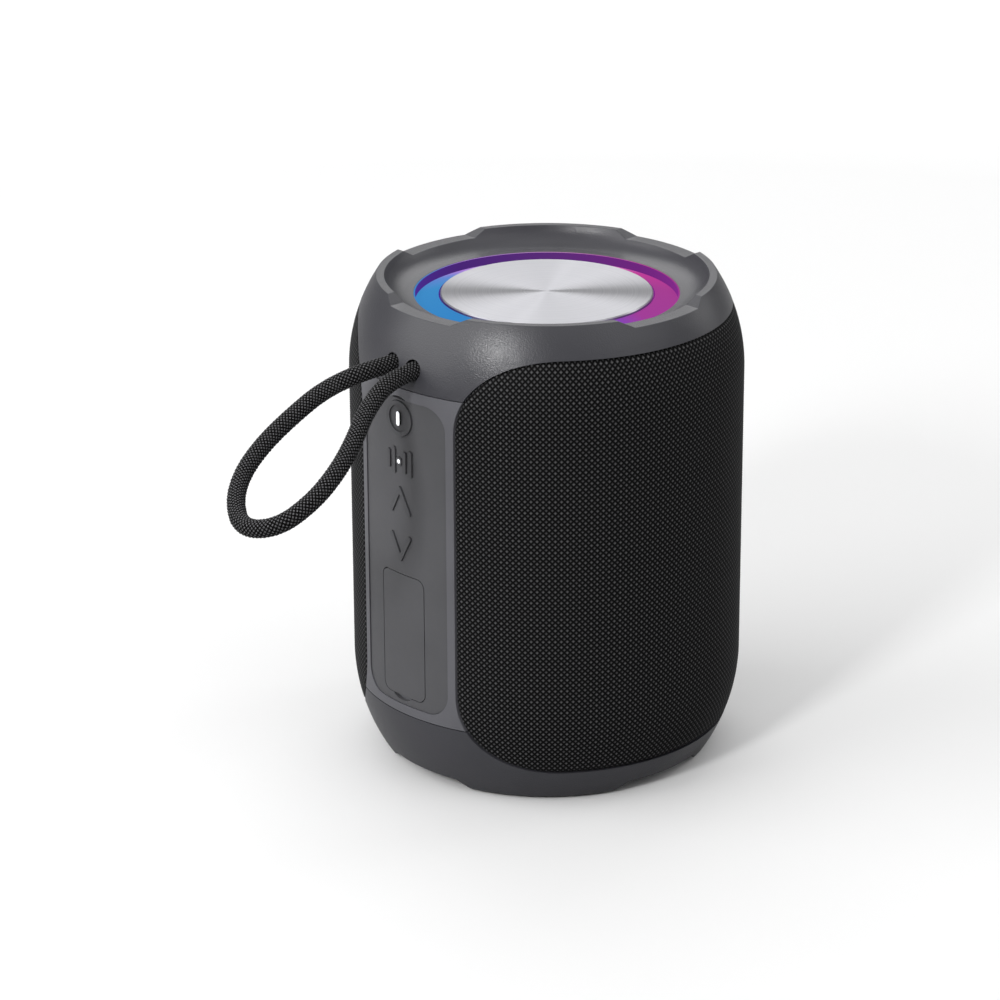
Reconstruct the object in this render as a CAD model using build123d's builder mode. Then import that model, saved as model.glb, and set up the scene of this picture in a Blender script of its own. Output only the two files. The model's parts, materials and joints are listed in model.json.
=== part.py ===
"""Portable cylindrical shower speaker: fabric-wrapped body, control spine, light ring and lanyard.

Millimetres, +Z up. The origin is the centre of the base on the surface it stands on, and the control
spine faces -Y.
"""

from build123d import *
from math import cos, pi, radians, sin, sqrt, tan
import os

# ---------------------------------------------------------------- driving dimensions
HEIGHT = 115.6
BODY_R = 46.0
SHOULDER_Z = 93.5  # the straight wall ends here and the top arc starts
SHOULDER_R = 40.0
HIP_Z = 24.0  # the straight wall starts here and the bottom arc ends
HIP_R = 43.0
SPINE_HALF = 15.5  # half the width of the control spine
WINDOW_TOP = 108.5  # the fabric runs from WINDOW_BOTTOM to WINDOW_TOP
WINDOW_BOTTOM = 8.5
WINDOW_CORNER = 18.4
SPLIT_TOP = 98.5  # joint between the top housing and the spine
SPLIT_BOTTOM = 18.3  # joint between the spine and the base housing
SEAM = 0.12  # half the gap at a joint between two housings
FAR = 80.0
SPINE_BACK = 30.0  # cuts through the spine start this far in front of the axis

# castellated rims: four raised segments between four low ones
SEGMENT_ANGLES = (0, 90, 180, 270)  # the low segments; one lies over the spine
RIM_DROP = 1.7
FOOT_RISE = 2.7
FOOT_Z = 0.3  # the plastic stands this high on its rubber pads

# top housing
RIM_INNER_R = 37.5
BOWL_CORNER = (35.6, 111.5)
BOWL_R = 6.0  # the bowl scoops from its wall to its floor
RIM_EDGE = 0.2
BOWL_EDGE_Z = 111.0
RING_OUTER_R = 30.8
RING_WALL_R = 30.45  # the light guide's upright wall
RING_INNER_R = 25.0
WALL = 2.6  # housing wall that shows
SKIRT = 4.4  # housing wall with the skirt that backs the fabric cage
BOSS_R = 36.0  # the crown screws stand on this radius
BASE_BOSS_R = 28.0

# fabric and its cage, as depths under the body's surface
FABRIC_OUT = 0.1
FABRIC_IN = 1.0
CAGE_IN = 2.6
CAGE_ROWS = 8
CAGE_COLUMNS = 22

# passive radiator under the bright disc
DISC_R = 24.64
DISC_TOP = 111.13
DISC_T = 1.0
PISTON_R = 13.5

# speaker driver, facing +Y
DRIVER_Z = 59.0
DRIVER_R = 25.0
BAFFLE_Y = 26.0
BAFFLE_T = 2.6

# control pad and buttons, as depths under the body's surface
PAD_HALF = 13.4
PAD_LOW, PAD_HIGH = 20.8, 95.8
PAD_OUT = 0.3
PAD_IN = 1.3
KEY_OUT = -0.1  # the symbols stand proud of the pad
KEY_IN = 2.1
KEY_GAP = 0.1
EQ_BARS = ((-3.6, 4.4), (-1.75, 6.2), (1.75, 5.2), (3.6, 6.2))  # place and length of each bar
POWER_R = 4.15  # outside of the raised power ring
POWER_FACE_R = 3.15
BAR_LENGTH, BAR_WIDTH = 3.4, 1.1  # the lit power mark
POWER_Z = 91.2
EQ_Z = 80.9
EQ_LIGHT_R = 0.5
UP_Z = 71.5
DOWN_Z = 59.95
SWITCH_Z = (POWER_Z, EQ_Z, UP_Z, DOWN_Z)
KEY_NAMES = ("power", "eq", "volume_up", "volume_down")
BOARD_Y = -35.2  # back face of the key board
BOARD_T = 1.0
SWITCH_H = 3.5
PLUNGER_Y = -41.0  # tip of each switch plunger

# port flap
FLAP_HALF = 6.9
FLAP_LOW, FLAP_HIGH = 22.9, 53.2
FLAP_GAP = 0.22
FLAP_IN = 1.9
USB_Z = 32.5
JACK_Z = 44.5

# lanyard
ROPE_D = 4.3
FERRULE_R = 2.6  # crimped ends that can't pull out through the retainer
ROPE_ROOM = 0.3  # the holes clear the rope by this much all round
ROPE_EXIT_X = 3.4
ROPE_EXIT_Z = 103.1
ROPE_ROUTE = [
    (-3.4, -37.2, 103.1),
    (-3.4, -43.9, 103.1),
    (-5.0, -53.1, 102.4),
    (-9.8, -59.9, 98.6),
    (-11.2, -67.7, 94.1),
    (-11.7, -75.5, 89.5),
    (-10.0, -83.2, 84.9),
    (-5.0, -89.7, 80.9),
    (3.2, -94.0, 78.2),
    (11.8, -90.9, 80.3),
    (14.5, -83.2, 85.1),
    (13.5, -75.4, 89.7),
    (10.4, -68.0, 93.9),
    (6.2, -61.0, 97.8),
    (3.8, -53.2, 101.9),
    (3.4, -43.9, 103.1),
    (3.4, -37.2, 103.1),
]

os.makedirs("parts", exist_ok=True)


def finish(node, name):
    """Labels a finished piece and writes it to parts/."""
    node.part.label = name
    export_step(node.part, f"parts/{name}.step")


def radius_at(z, depth=0.0):
    """Radius of the body's surface at a height, depth under its skin."""
    if z > SHOULDER_Z:
        return BODY_R - SHOULDER_R + sqrt((SHOULDER_R - depth) ** 2 - (z - SHOULDER_Z) ** 2)
    if z < HIP_Z:
        return BODY_R - HIP_R + sqrt((HIP_R - depth) ** 2 - (HIP_Z - z) ** 2)
    return BODY_R - depth


def skin_line(depth, low, high):
    """Draws the body's outline from low to high inside a BuildLine."""
    if low < HIP_Z:
        stop = min(HIP_Z, high)
        middle = (low + stop) / 2
        ThreePointArc(
            (radius_at(low, depth), low),
            (radius_at(middle, depth), middle),
            (radius_at(stop, depth), stop),
        )
    if low < SHOULDER_Z and high > HIP_Z:
        Line(
            (BODY_R - depth, max(low, HIP_Z)),
            (BODY_R - depth, min(high, SHOULDER_Z)),
        )
    if high > SHOULDER_Z:
        start = max(SHOULDER_Z, low)
        middle = (start + high) / 2
        ThreePointArc(
            (radius_at(start, depth), start),
            (radius_at(middle, depth), middle),
            (radius_at(high, depth), high),
        )


def bulk(depth, low, high, mode=Mode.ADD):
    """Solid of revolution inside the body's skin, depth under it, between two heights."""
    with BuildSketch(Plane.XZ) as outline:
        with BuildLine():
            skin_line(depth, low, high)
            Polyline(
                (radius_at(high, depth), high),
                (0, high),
                (0, low),
                (radius_at(low, depth), low),
            )
        make_face()
    revolve(outline.sketch, axis=Axis.Z, mode=mode)


def turned(points, mode=Mode.ADD):
    """Solid of revolution about Z of a closed outline of (radius, height) points."""
    with BuildSketch(Plane.XZ) as outline:
        with BuildLine():
            Polyline(*points, close=True)
        make_face()
    revolve(outline.sketch, axis=Axis.Z, mode=mode)


def tube(outer, inner, low, high, mode=Mode.ADD):
    """Ring about Z."""
    turned([(inner, low), (outer, low), (outer, high), (inner, high)], mode)


def window_room(grow=0.0):
    """Space that the fabric takes, seen from the front: everything but the spine's outline."""
    low, high = WINDOW_BOTTOM - grow, WINDOW_TOP + grow
    with BuildPart() as room:
        for side in (-1, 1):
            inner = SPINE_HALF - grow
            middle = side * (inner + FAR) / 2
            with BuildSketch(Plane.XZ):
                with Locations((middle, (low + high) / 2)):
                    RectangleRounded(FAR - inner, high - low, WINDOW_CORNER + grow)
            extrude(amount=FAR)
        with BuildSketch(Plane.XY.offset(low)):
            with Locations((0, FAR / 2)):
                Rectangle(2 * FAR, FAR)
        extrude(amount=high - low)
        # the outer corners of the two prisms are square again
        for side in (-1, 1):
            with BuildSketch(Plane.XY.offset(low)):
                with Locations((side * 0.75 * FAR, -FAR / 2)):
                    Rectangle(FAR / 2 + 2, FAR)
            extrude(amount=high - low)
    return room.part


def front_shape(half, low, high, radius):
    """Prism through the spine with a rounded rectangle's outline."""
    with BuildPart() as prism:
        with BuildSketch(Plane.XZ.offset(SPINE_BACK)):
            with Locations((0, (low + high) / 2)):
                RectangleRounded(2 * half, high - low, radius)
        extrude(amount=FAR - SPINE_BACK)
    return prism.part


def front_rod(radius, z):
    """Round prism through the spine at a height."""
    with BuildPart() as prism:
        with BuildSketch(Plane.XZ.offset(SPINE_BACK)):
            with Locations((0, z)):
                Circle(radius)
        extrude(amount=FAR - SPINE_BACK)
    return prism.part


def skin_piece(outer, inner, low, high, outline):
    """The part of a prism that lies between two depths under the body's surface."""
    with BuildPart() as piece:
        bulk(outer, low, high)
        bulk(inner, low - 1.0, high + 1.0, mode=Mode.SUBTRACT)
        add(outline, mode=Mode.INTERSECT)
    return piece.part


window_cut = window_room(SEAM)
window_small = window_room(-SEAM)


def slot_ramps(z_low, z_high, angles, floor_half, top_half, mode=Mode.SUBTRACT):
    """Trapezoid cuts through a rim, centred on each angle; half-widths in millimetres."""
    for angle in angles:
        radial = Plane(
            origin=(0, 0, 0),
            x_dir=(cos(radians(angle)), sin(radians(angle)), 0),
            z_dir=(sin(radians(angle)), -cos(radians(angle)), 0),
        )
        with BuildSketch(radial.offset(26.0)) as notch:
            with BuildLine():
                Polyline(
                    (-floor_half, z_low),
                    (floor_half, z_low),
                    (top_half, z_high),
                    (-top_half, z_high),
                    close=True,
                )
            make_face()
        extrude(notch.sketch, amount=24.0, mode=mode)


# ---------------------------------------------------------------- top housing
crown_band = skin_piece(-6.0, WALL + 0.1, SPLIT_TOP - 1.0, WINDOW_TOP + 1.0, window_cut)

with BuildPart() as top_housing:
    with BuildSketch(Plane.XZ):
        with BuildLine():
            skin_line(0.0, SPLIT_TOP + SEAM, HEIGHT)
            Line((radius_at(HEIGHT), HEIGHT), (RIM_INNER_R, HEIGHT))
            FilletPolyline(
                (RIM_INNER_R, HEIGHT),
                BOWL_CORNER,
                (RING_OUTER_R, BOWL_EDGE_Z),
                radius=BOWL_R,
            )
            Polyline(
                (RING_OUTER_R, BOWL_EDGE_Z),
                (RING_OUTER_R, BOWL_EDGE_Z - 0.5),
                (RING_OUTER_R + 0.7, BOWL_EDGE_Z - 0.5),
                (RING_OUTER_R + 0.7, 104.6),
                (RING_OUTER_R + 2.6, 104.6),
                (RING_OUTER_R + 2.6, 109.0),
                (radius_at(109.6, SKIRT), 109.6),
            )
            skin_line(SKIRT, SPLIT_TOP + SEAM, 109.6)
            Line(
                (radius_at(SPLIT_TOP + SEAM, SKIRT), SPLIT_TOP + SEAM),
                (radius_at(SPLIT_TOP + SEAM), SPLIT_TOP + SEAM),
            )
        make_face()
    revolve(axis=Axis.Z)
    slot_ramps(HEIGHT - RIM_DROP, HEIGHT + 1.0, SEGMENT_ANGLES, 9.9, 15.0)
    rim_edges = top_housing.edges().filter_by_position(Axis.Z, HEIGHT - RIM_DROP - 0.05, HEIGHT + 0.05)
    fillet(rim_edges, radius=RIM_EDGE)
    # room for the fabric and its cage, outside the skirt
    add(crown_band, mode=Mode.SUBTRACT)
    # screw bosses
    with BuildSketch(Plane.XY.offset(100.4)):
        with PolarLocations(BOSS_R, 4, start_angle=45):
            Circle(2.4)
    extrude(amount=9.4)
    with BuildSketch(Plane.XY.offset(100.4)):
        with PolarLocations(BOSS_R, 4, start_angle=45):
            Circle(0.85)
    extrude(amount=7.0, mode=Mode.SUBTRACT)
    # the two lanyard holes over the spine
    with BuildSketch(Plane.XZ.offset(34.5)):
        with Locations((-ROPE_EXIT_X, ROPE_EXIT_Z), (ROPE_EXIT_X, ROPE_EXIT_Z)):
            Circle(ROPE_D / 2 + ROPE_ROOM)
    extrude(amount=14.0, mode=Mode.SUBTRACT)
finish(top_housing, "top_housing")

# ---------------------------------------------------------------- base housing
base_band = skin_piece(-6.0, WALL + 0.1, WINDOW_BOTTOM - 1.0, SPLIT_BOTTOM + 1.0, window_cut)

with BuildPart() as pad_pockets:
    tube(36.2, 33.8, FOOT_Z, 1.3)
    slot_ramps(-1.0, 4.0, SEGMENT_ANGLES, 17.0, 17.0)

with BuildPart() as base_housing:
    with BuildSketch(Plane.XZ):
        with BuildLine():
            skin_line(0.0, FOOT_Z, SPLIT_BOTTOM - SEAM)
            Line(
                (radius_at(SPLIT_BOTTOM - SEAM), SPLIT_BOTTOM - SEAM),
                (radius_at(SPLIT_BOTTOM - SEAM, SKIRT), SPLIT_BOTTOM - SEAM),
            )
            skin_line(SKIRT, 8.0, SPLIT_BOTTOM - SEAM)
            Polyline(
                (radius_at(8.0, SKIRT), 8.0),
                (0, 8.0),
                (0, 6.0),
                (31.4, 6.0),
                (32.4, FOOT_Z),
                (radius_at(FOOT_Z), FOOT_Z),
            )
        make_face()
    revolve(axis=Axis.Z)
    foot_circles = base_housing.edges().filter_by(GeomType.CIRCLE).group_by(Axis.Z)[0]
    outer_foot = foot_circles.sort_by(SortBy.RADIUS)[-1]
    fillet(outer_foot, radius=1.9)
    slot_ramps(FOOT_Z - 1.0, FOOT_Z + FOOT_RISE, SEGMENT_ANGLES, 15.0, 10.6)
    add(base_band, mode=Mode.SUBTRACT)
    with BuildSketch(Plane.XY.offset(8.0)):
        with PolarLocations(BASE_BOSS_R, 4):
            Circle(3.2)
    extrude(amount=1.9)
    with BuildSketch(Plane.XY.offset(5.0)):
        with PolarLocations(BASE_BOSS_R, 4):
            Circle(1.3)
    extrude(amount=6.0, mode=Mode.SUBTRACT)
    with BuildSketch(Plane.XY.offset(5.0)):
        with PolarLocations(BASE_BOSS_R, 4):
            Circle(2.4)
    extrude(amount=2.6, mode=Mode.SUBTRACT)
    # pockets for the four foot pads
    add(pad_pockets.part, mode=Mode.SUBTRACT)
finish(base_housing, "base_housing")

with BuildPart() as foot_pads:
    tube(36.1, 33.9, 0.0, 1.3)
    slot_ramps(-1.0, 4.0, SEGMENT_ANGLES, 17.1, 17.1)
finish(foot_pads, "foot_pads")

with BuildPart() as base_pad:
    with BuildSketch(Plane.XY.offset(4.6)):
        Circle(30.6)
    extrude(amount=1.4)
    fillet(base_pad.edges().group_by(Axis.Z)[0], radius=0.5)
finish(base_pad, "base_pad")

# ---------------------------------------------------------------- control spine
pad_pocket = skin_piece(
    -2.0,
    PAD_IN,
    PAD_LOW - 2.0,
    PAD_HIGH + 1.5,
    front_shape(PAD_HALF + 0.1, PAD_LOW - 0.1, PAD_HIGH + 0.1, 5.6),
)

with BuildPart() as spine_panel:
    bulk(0.0, SPLIT_BOTTOM + SEAM, SPLIT_TOP - SEAM)
    bulk(WALL, SPLIT_BOTTOM - 1.0, SPLIT_TOP + 1.0, mode=Mode.SUBTRACT)
    with BuildSketch(Plane.XZ.offset(30.0)):
        with Locations((0, HEIGHT / 2)):
            Rectangle(2 * FAR, 2 * HEIGHT)
    extrude(amount=FAR, mode=Mode.INTERSECT)
    add(window_cut, mode=Mode.SUBTRACT)
    # pocket for the soft pad
    add(pad_pocket, mode=Mode.SUBTRACT)
    # a round opening behind each key
    with BuildSketch(Plane.XZ.offset(30.0)):
        with Locations(*[(0, z) for z in SWITCH_Z]):
            Circle(5.3)
    extrude(amount=FAR, mode=Mode.SUBTRACT)
    # the port recess and the slot for the flap's web
    add(front_shape(6.2, FLAP_LOW + 0.9, FLAP_HIGH - 0.3, 2.0), mode=Mode.SUBTRACT)
    with BuildSketch(Plane.XZ.offset(30.0)):
        with Locations((0, 53.4)):
            Rectangle(9.0, 3.4)
    extrude(amount=FAR, mode=Mode.SUBTRACT)
finish(spine_panel, "spine_panel")


def key_prism(kind, grow=0.0):
    """Prism of one raised key symbol through the spine; grow widens its outline all round."""
    with BuildPart() as prism:
        with BuildSketch(Plane.XZ.offset(SPINE_BACK)):
            if kind == "power":
                with Locations((0, POWER_Z)):
                    Circle(POWER_R + grow)
            elif kind == "eq":
                for x, length in EQ_BARS:
                    with Locations((x, EQ_Z)):
                        RectangleRounded(0.95 + 2 * grow, length + 2 * grow, 0.45)
                with Locations((0, EQ_Z)):
                    Circle(EQ_LIGHT_R + 0.45 + grow)
            else:
                side = 1 if kind == "volume_up" else -1
                middle = UP_Z if kind == "volume_up" else DOWN_Z
                with BuildLine():
                    Polyline(
                        (-2.9, middle - 2.7 * side),
                        (0, middle + 2.7 * side),
                        (2.9, middle - 2.7 * side),
                    )
                    offset(amount=0.55 + grow, side=Side.BOTH, kind=Kind.ARC)
                make_face()
        extrude(amount=FAR - SPINE_BACK)
    return prism.part


def key_shape(kind, grow, outer, inner):
    """One key symbol as a solid between two depths under the body's surface."""
    return skin_piece(outer, inner, PAD_LOW - 1.0, PAD_HIGH + 2.0, key_prism(kind, grow))


with BuildPart() as control_pad:
    bulk(PAD_OUT, PAD_LOW - 1.0, PAD_HIGH + 1.0)
    bulk(PAD_IN - 0.02, PAD_LOW - 2.0, PAD_HIGH + 2.0, mode=Mode.SUBTRACT)
    add(front_shape(PAD_HALF, PAD_LOW, PAD_HIGH, 5.5), mode=Mode.INTERSECT)
    for name in KEY_NAMES:
        add(key_shape(name, KEY_GAP, -2.0, 4.0), mode=Mode.SUBTRACT)
    add(
        front_shape(FLAP_HALF + FLAP_GAP, FLAP_LOW - FLAP_GAP, FLAP_HIGH + FLAP_GAP, 2.2),
        mode=Mode.SUBTRACT,
    )
    # finger notch under the flap
    with BuildSketch(Plane.XZ.offset(30.0)):
        with Locations((-0.4, FLAP_LOW)):
            Ellipse(3.0, 1.3)
    extrude(amount=FAR, mode=Mode.SUBTRACT)
finish(control_pad, "control_pad")

# ---------------------------------------------------------------- keys
for name, z in zip(KEY_NAMES, SWITCH_Z):
    plate = skin_piece(PAD_IN + 0.05, KEY_IN, PAD_LOW - 1.0, PAD_HIGH + 2.0, front_rod(4.5, z))
    face = skin_piece(-2.0, PAD_OUT + 0.05, PAD_LOW, PAD_HIGH + 2.0, front_rod(POWER_FACE_R, z))
    with BuildPart() as key:
        add(key_shape(name, 0.0, KEY_OUT, KEY_IN))
        add(plate)
        # stem that reaches the switch
        with BuildSketch(Plane.XZ.offset(-PLUNGER_Y)):
            with Locations((0, z)):
                Circle(1.6)
        extrude(amount=3.0)
        if name == "power":
            # the raised ring is left standing round a lower face
            add(face, mode=Mode.SUBTRACT)
            with BuildSketch(Plane.XZ.offset(BODY_R - 2.4)):
                with Locations((0, z)):
                    SlotOverall(BAR_LENGTH, BAR_WIDTH, rotation=90)
            extrude(amount=FAR, mode=Mode.SUBTRACT)
        if name == "eq":
            with BuildSketch(Plane.XZ.offset(BODY_R - 2.4)):
                with Locations((0, z)):
                    Circle(EQ_LIGHT_R + 0.02)
            extrude(amount=FAR, mode=Mode.SUBTRACT)
    finish(key, f"{name}_button")

    with BuildPart() as plunger:
        with BuildSketch(Plane.XZ.offset(-BOARD_Y + BOARD_T + SWITCH_H - 1.0)):
            with Locations((0, z)):
                Circle(1.2)
        extrude(amount=-PLUNGER_Y - (-BOARD_Y + BOARD_T + SWITCH_H - 1.0))
    finish(plunger, f"{name}_plunger")

with BuildPart() as power_light_bar:
    with BuildSketch(Plane.XZ.offset(BODY_R - 2.4)):
        with Locations((0, POWER_Z)):
            SlotOverall(BAR_LENGTH - 0.04, BAR_WIDTH - 0.04, rotation=90)
    extrude(amount=2.4 + 0.15)
finish(power_light_bar, "power_light_bar")

with BuildPart() as eq_light:
    with BuildSketch(Plane.XZ.offset(BODY_R - 2.4)):
        with Locations((0, EQ_Z)):
            Circle(EQ_LIGHT_R)
    extrude(amount=2.4 - KEY_OUT)
finish(eq_light, "eq_light")

with BuildPart() as tact_switches:
    with BuildSketch(Plane.XZ.offset(-BOARD_Y + BOARD_T)):
        with Locations(*[(0, z) for z in SWITCH_Z]):
            RectangleRounded(6.0, 6.0, 0.5)
    extrude(amount=SWITCH_H)
    with BuildSketch(Plane.XZ.offset(-BOARD_Y + BOARD_T + SWITCH_H - 1.6)):
        with Locations(*[(0, z) for z in SWITCH_Z]):
            Circle(1.26)
    extrude(amount=4.0, mode=Mode.SUBTRACT)
finish(tact_switches, "tact_switches")

with BuildPart() as key_board:
    with BuildSketch(Plane.XZ.offset(-BOARD_Y)):
        with Locations((0, 60.0)):
            RectangleRounded(18.0, 74.0, 1.5)
        with Locations((-7.2, 26.0), (7.2, 26.0), (-7.2, 94.4), (7.2, 94.4)):
            Circle(0.9, mode=Mode.SUBTRACT)
    extrude(amount=BOARD_T)
finish(key_board, "key_board")

with BuildPart() as board_screws:
    for x in (-7.2, 7.2):
        for z in (26.0, 94.4):
            with BuildSketch(Plane.XZ.offset(-BOARD_Y + BOARD_T)):
                with Locations((x, z)):
                    Circle(1.5)
            extrude(amount=1.0)
            with BuildSketch(Plane.XZ.offset(-BOARD_Y - 0.9)):
                with Locations((x, z)):
                    Circle(0.8)
            extrude(amount=BOARD_T + 0.9)
finish(board_screws, "board_screws")

# ---------------------------------------------------------------- port flap and sockets
with BuildPart() as flap_lip:
    add(skin_piece(PAD_IN - 0.05, 6.0, 20.0, 60.0, front_shape(12.0, 20.5, 59.5, 1.0)))
    add(front_shape(6.0, FLAP_LOW + 1.1, FLAP_HIGH - 1.6, 1.9), mode=Mode.SUBTRACT)

with BuildPart() as port_flap:
    bulk(PAD_OUT, 20.0, 60.0)
    bulk(FLAP_IN, 19.0, 61.0, mode=Mode.SUBTRACT)
    add(front_shape(FLAP_HALF, FLAP_LOW, FLAP_HIGH, 2.0), mode=Mode.INTERSECT)
    # the inner step fits the port recess
    add(flap_lip.part, mode=Mode.SUBTRACT)
    # plugs that seal the two sockets
    with BuildSketch(Plane.XZ.offset(42.0)):
        with Locations((0, USB_Z)):
            SlotOverall(7.6, 2.0)
        with Locations((0, JACK_Z)):
            Circle(1.4)
    extrude(amount=2.5)
finish(port_flap, "port_flap")

with BuildPart() as flap_web:
    with BuildSketch(Plane.XZ.offset(43.45)):
        with Locations((0, 53.35)):
            Rectangle(8.6, 3.2)
    extrude(amount=0.62)
finish(flap_web, "flap_web")

with BuildPart() as usb_c_socket:
    with BuildSketch(Plane.XZ.offset(-BOARD_Y + BOARD_T)):
        with Locations((0, USB_Z)):
            SlotOverall(9.0, 3.3)
    extrude(amount=6.6)
    with BuildSketch(Plane.XZ.offset(-BOARD_Y + BOARD_T + 1.0)):
        with Locations((0, USB_Z)):
            SlotOverall(8.4, 2.7)
    extrude(amount=8.0, mode=Mode.SUBTRACT)
    with BuildSketch(Plane.XZ.offset(-BOARD_Y + BOARD_T)):
        with Locations((0, USB_Z)):
            Rectangle(6.4, 0.7)
    extrude(amount=5.6)
finish(usb_c_socket, "usb_c_socket")

with BuildPart() as audio_jack:
    with BuildSketch(Plane.XZ.offset(-BOARD_Y + BOARD_T)):
        with Locations((0, JACK_Z)):
            RectangleRounded(6.4, 6.0, 0.6)
    extrude(amount=5.4)
    with BuildSketch(Plane.XZ.offset(-BOARD_Y + BOARD_T)):
        with Locations((0, JACK_Z)):
            Circle(2.6)
    extrude(amount=6.4)
    with BuildSketch(Plane.XZ.offset(-BOARD_Y + BOARD_T + 1.0)):
        with Locations((0, JACK_Z)):
            Circle(1.75)
    extrude(amount=8.0, mode=Mode.SUBTRACT)
finish(audio_jack, "audio_jack")

# ---------------------------------------------------------------- fabric and its cage
with BuildPart() as fabric_grille:
    bulk(FABRIC_OUT, WINDOW_BOTTOM + SEAM, WINDOW_TOP - SEAM)
    bulk(FABRIC_IN, WINDOW_BOTTOM - 1.0, WINDOW_TOP + 1.0, mode=Mode.SUBTRACT)
    add(window_small, mode=Mode.INTERSECT)
finish(fabric_grille, "fabric_grille")

cage_slots = []
for row in range(CAGE_ROWS):
    for step in range(CAGE_COLUMNS):
        angle = radians(-60 + step * 300 / (CAGE_COLUMNS - 1))
        outward = Plane(
            origin=(0, 0, 27.0 + 9.2 * row),
            x_dir=(-sin(angle), cos(angle), 0),
            z_dir=(cos(angle), sin(angle), 0),
        )
        with BuildPart() as slot:
            with BuildSketch(outward.offset(40.0)):
                SlotOverall(9.0, 4.2)
            extrude(amount=8.0)
        cage_slots.append(slot.part)

with BuildPart() as grille_cage:
    bulk(FABRIC_IN + 0.02, WINDOW_BOTTOM + SEAM, WINDOW_TOP - SEAM)
    bulk(CAGE_IN, WINDOW_BOTTOM - 1.0, WINDOW_TOP + 1.0, mode=Mode.SUBTRACT)
    add(window_small, mode=Mode.INTERSECT)
    add(cage_slots, mode=Mode.SUBTRACT)
finish(grille_cage, "grille_cage")

# ---------------------------------------------------------------- light ring
with BuildPart() as light_ring:
    turned([
        (RING_INNER_R, 105.4),
        (RING_OUTER_R + 0.6, 105.4),
        (RING_OUTER_R + 0.6, BOWL_EDGE_Z - 0.55),
        (RING_OUTER_R - 0.05, BOWL_EDGE_Z - 0.55),
        (RING_OUTER_R - 0.05, BOWL_EDGE_Z - 0.05),
        (RING_WALL_R, BOWL_EDGE_Z - 0.05),
        (RING_WALL_R, 108.9),
        (RING_INNER_R, 110.6),
    ])
finish(light_ring, "light_ring")

with BuildPart() as led_board:
    tube(31.2, 24.6, 102.5, 103.5)
finish(led_board, "led_board")

with BuildPart() as ring_leds:
    with BuildSketch(Plane.XY.offset(103.5)):
        with PolarLocations(28.2, 16):
            Rectangle(3.0, 3.4)
    extrude(amount=1.4)
finish(ring_leds, "ring_leds")

# ---------------------------------------------------------------- passive radiator
with BuildPart() as radiator_frame:
    turned([
        (22.4, 100.9),
        (33.2, 100.9),
        (33.2, 102.5),
        (24.2, 102.5),
        (24.2, 108.6),
        (20.4, 108.6),
        (20.4, 107.6),
        (22.4, 107.6),
    ])
finish(radiator_frame, "radiator_frame")

with BuildPart() as radiator_gasket:
    tube(33.0, 30.6, 100.0, 100.9)
finish(radiator_gasket, "radiator_gasket")

with BuildPart() as radiator_surround:
    # half roll that hangs between the piston and the frame
    roll_middle = (PISTON_R + 20.4) / 2
    roll_outer = 20.4 - roll_middle
    with BuildSketch(Plane.XZ):
        with BuildLine():
            ThreePointArc(
                (roll_middle - roll_outer, 108.6),
                (roll_middle, 108.6 - roll_outer),
                (roll_middle + roll_outer, 108.6),
            )
            Line((roll_middle + roll_outer, 108.6), (roll_middle + roll_outer - 0.6, 108.6))
            ThreePointArc(
                (roll_middle + roll_outer - 0.6, 108.6),
                (roll_middle, 109.2 - roll_outer),
                (roll_middle - roll_outer + 0.6, 108.6),
            )
            Line((roll_middle - roll_outer + 0.6, 108.6), (roll_middle - roll_outer, 108.6))
        make_face()
    revolve(axis=Axis.Z)
finish(radiator_surround, "radiator_surround")

with BuildPart() as radiator_piston:
    turned([
        (0, 107.4),
        (PISTON_R, 107.4),
        (PISTON_R, 108.7),
        (PISTON_R - 1.4, DISC_TOP - DISC_T),
        (0, DISC_TOP - DISC_T),
    ])
finish(radiator_piston, "radiator_piston")

with BuildPart() as radiator_weight:
    turned([(0, 103.4), (10.5, 103.4), (11.0, 103.9), (11.0, 107.4), (0, 107.4)])
finish(radiator_weight, "radiator_weight")

with BuildPart() as radiator_disc:
    with BuildSketch(Plane.XY.offset(DISC_TOP - DISC_T)):
        Circle(DISC_R)
    extrude(amount=DISC_T)
    chamfer(radiator_disc.edges().group_by(Axis.Z)[-1], length=0.25)
finish(radiator_disc, "radiator_disc")

# ---------------------------------------------------------------- sealed inner chassis
CHASSIS_DEPTH = 4.8

with BuildPart() as chassis_hollow:
    bulk(CHASSIS_DEPTH + 2.0, 12.0, 98.0)
    with BuildSketch(Plane.XY.offset(5.0)):
        with Locations((0, -32.0 - FAR / 2)):
            Rectangle(2 * FAR, FAR)
    extrude(amount=100.0, mode=Mode.SUBTRACT)

with BuildPart() as baffle:
    bulk(CHASSIS_DEPTH + 1.0, 11.0, 99.0)
    with BuildSketch(Plane.XZ.offset(-BAFFLE_Y)):
        with Locations((0, DRIVER_Z)):
            Rectangle(2 * FAR, 2 * FAR)
    extrude(amount=BAFFLE_T, mode=Mode.INTERSECT)

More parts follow.
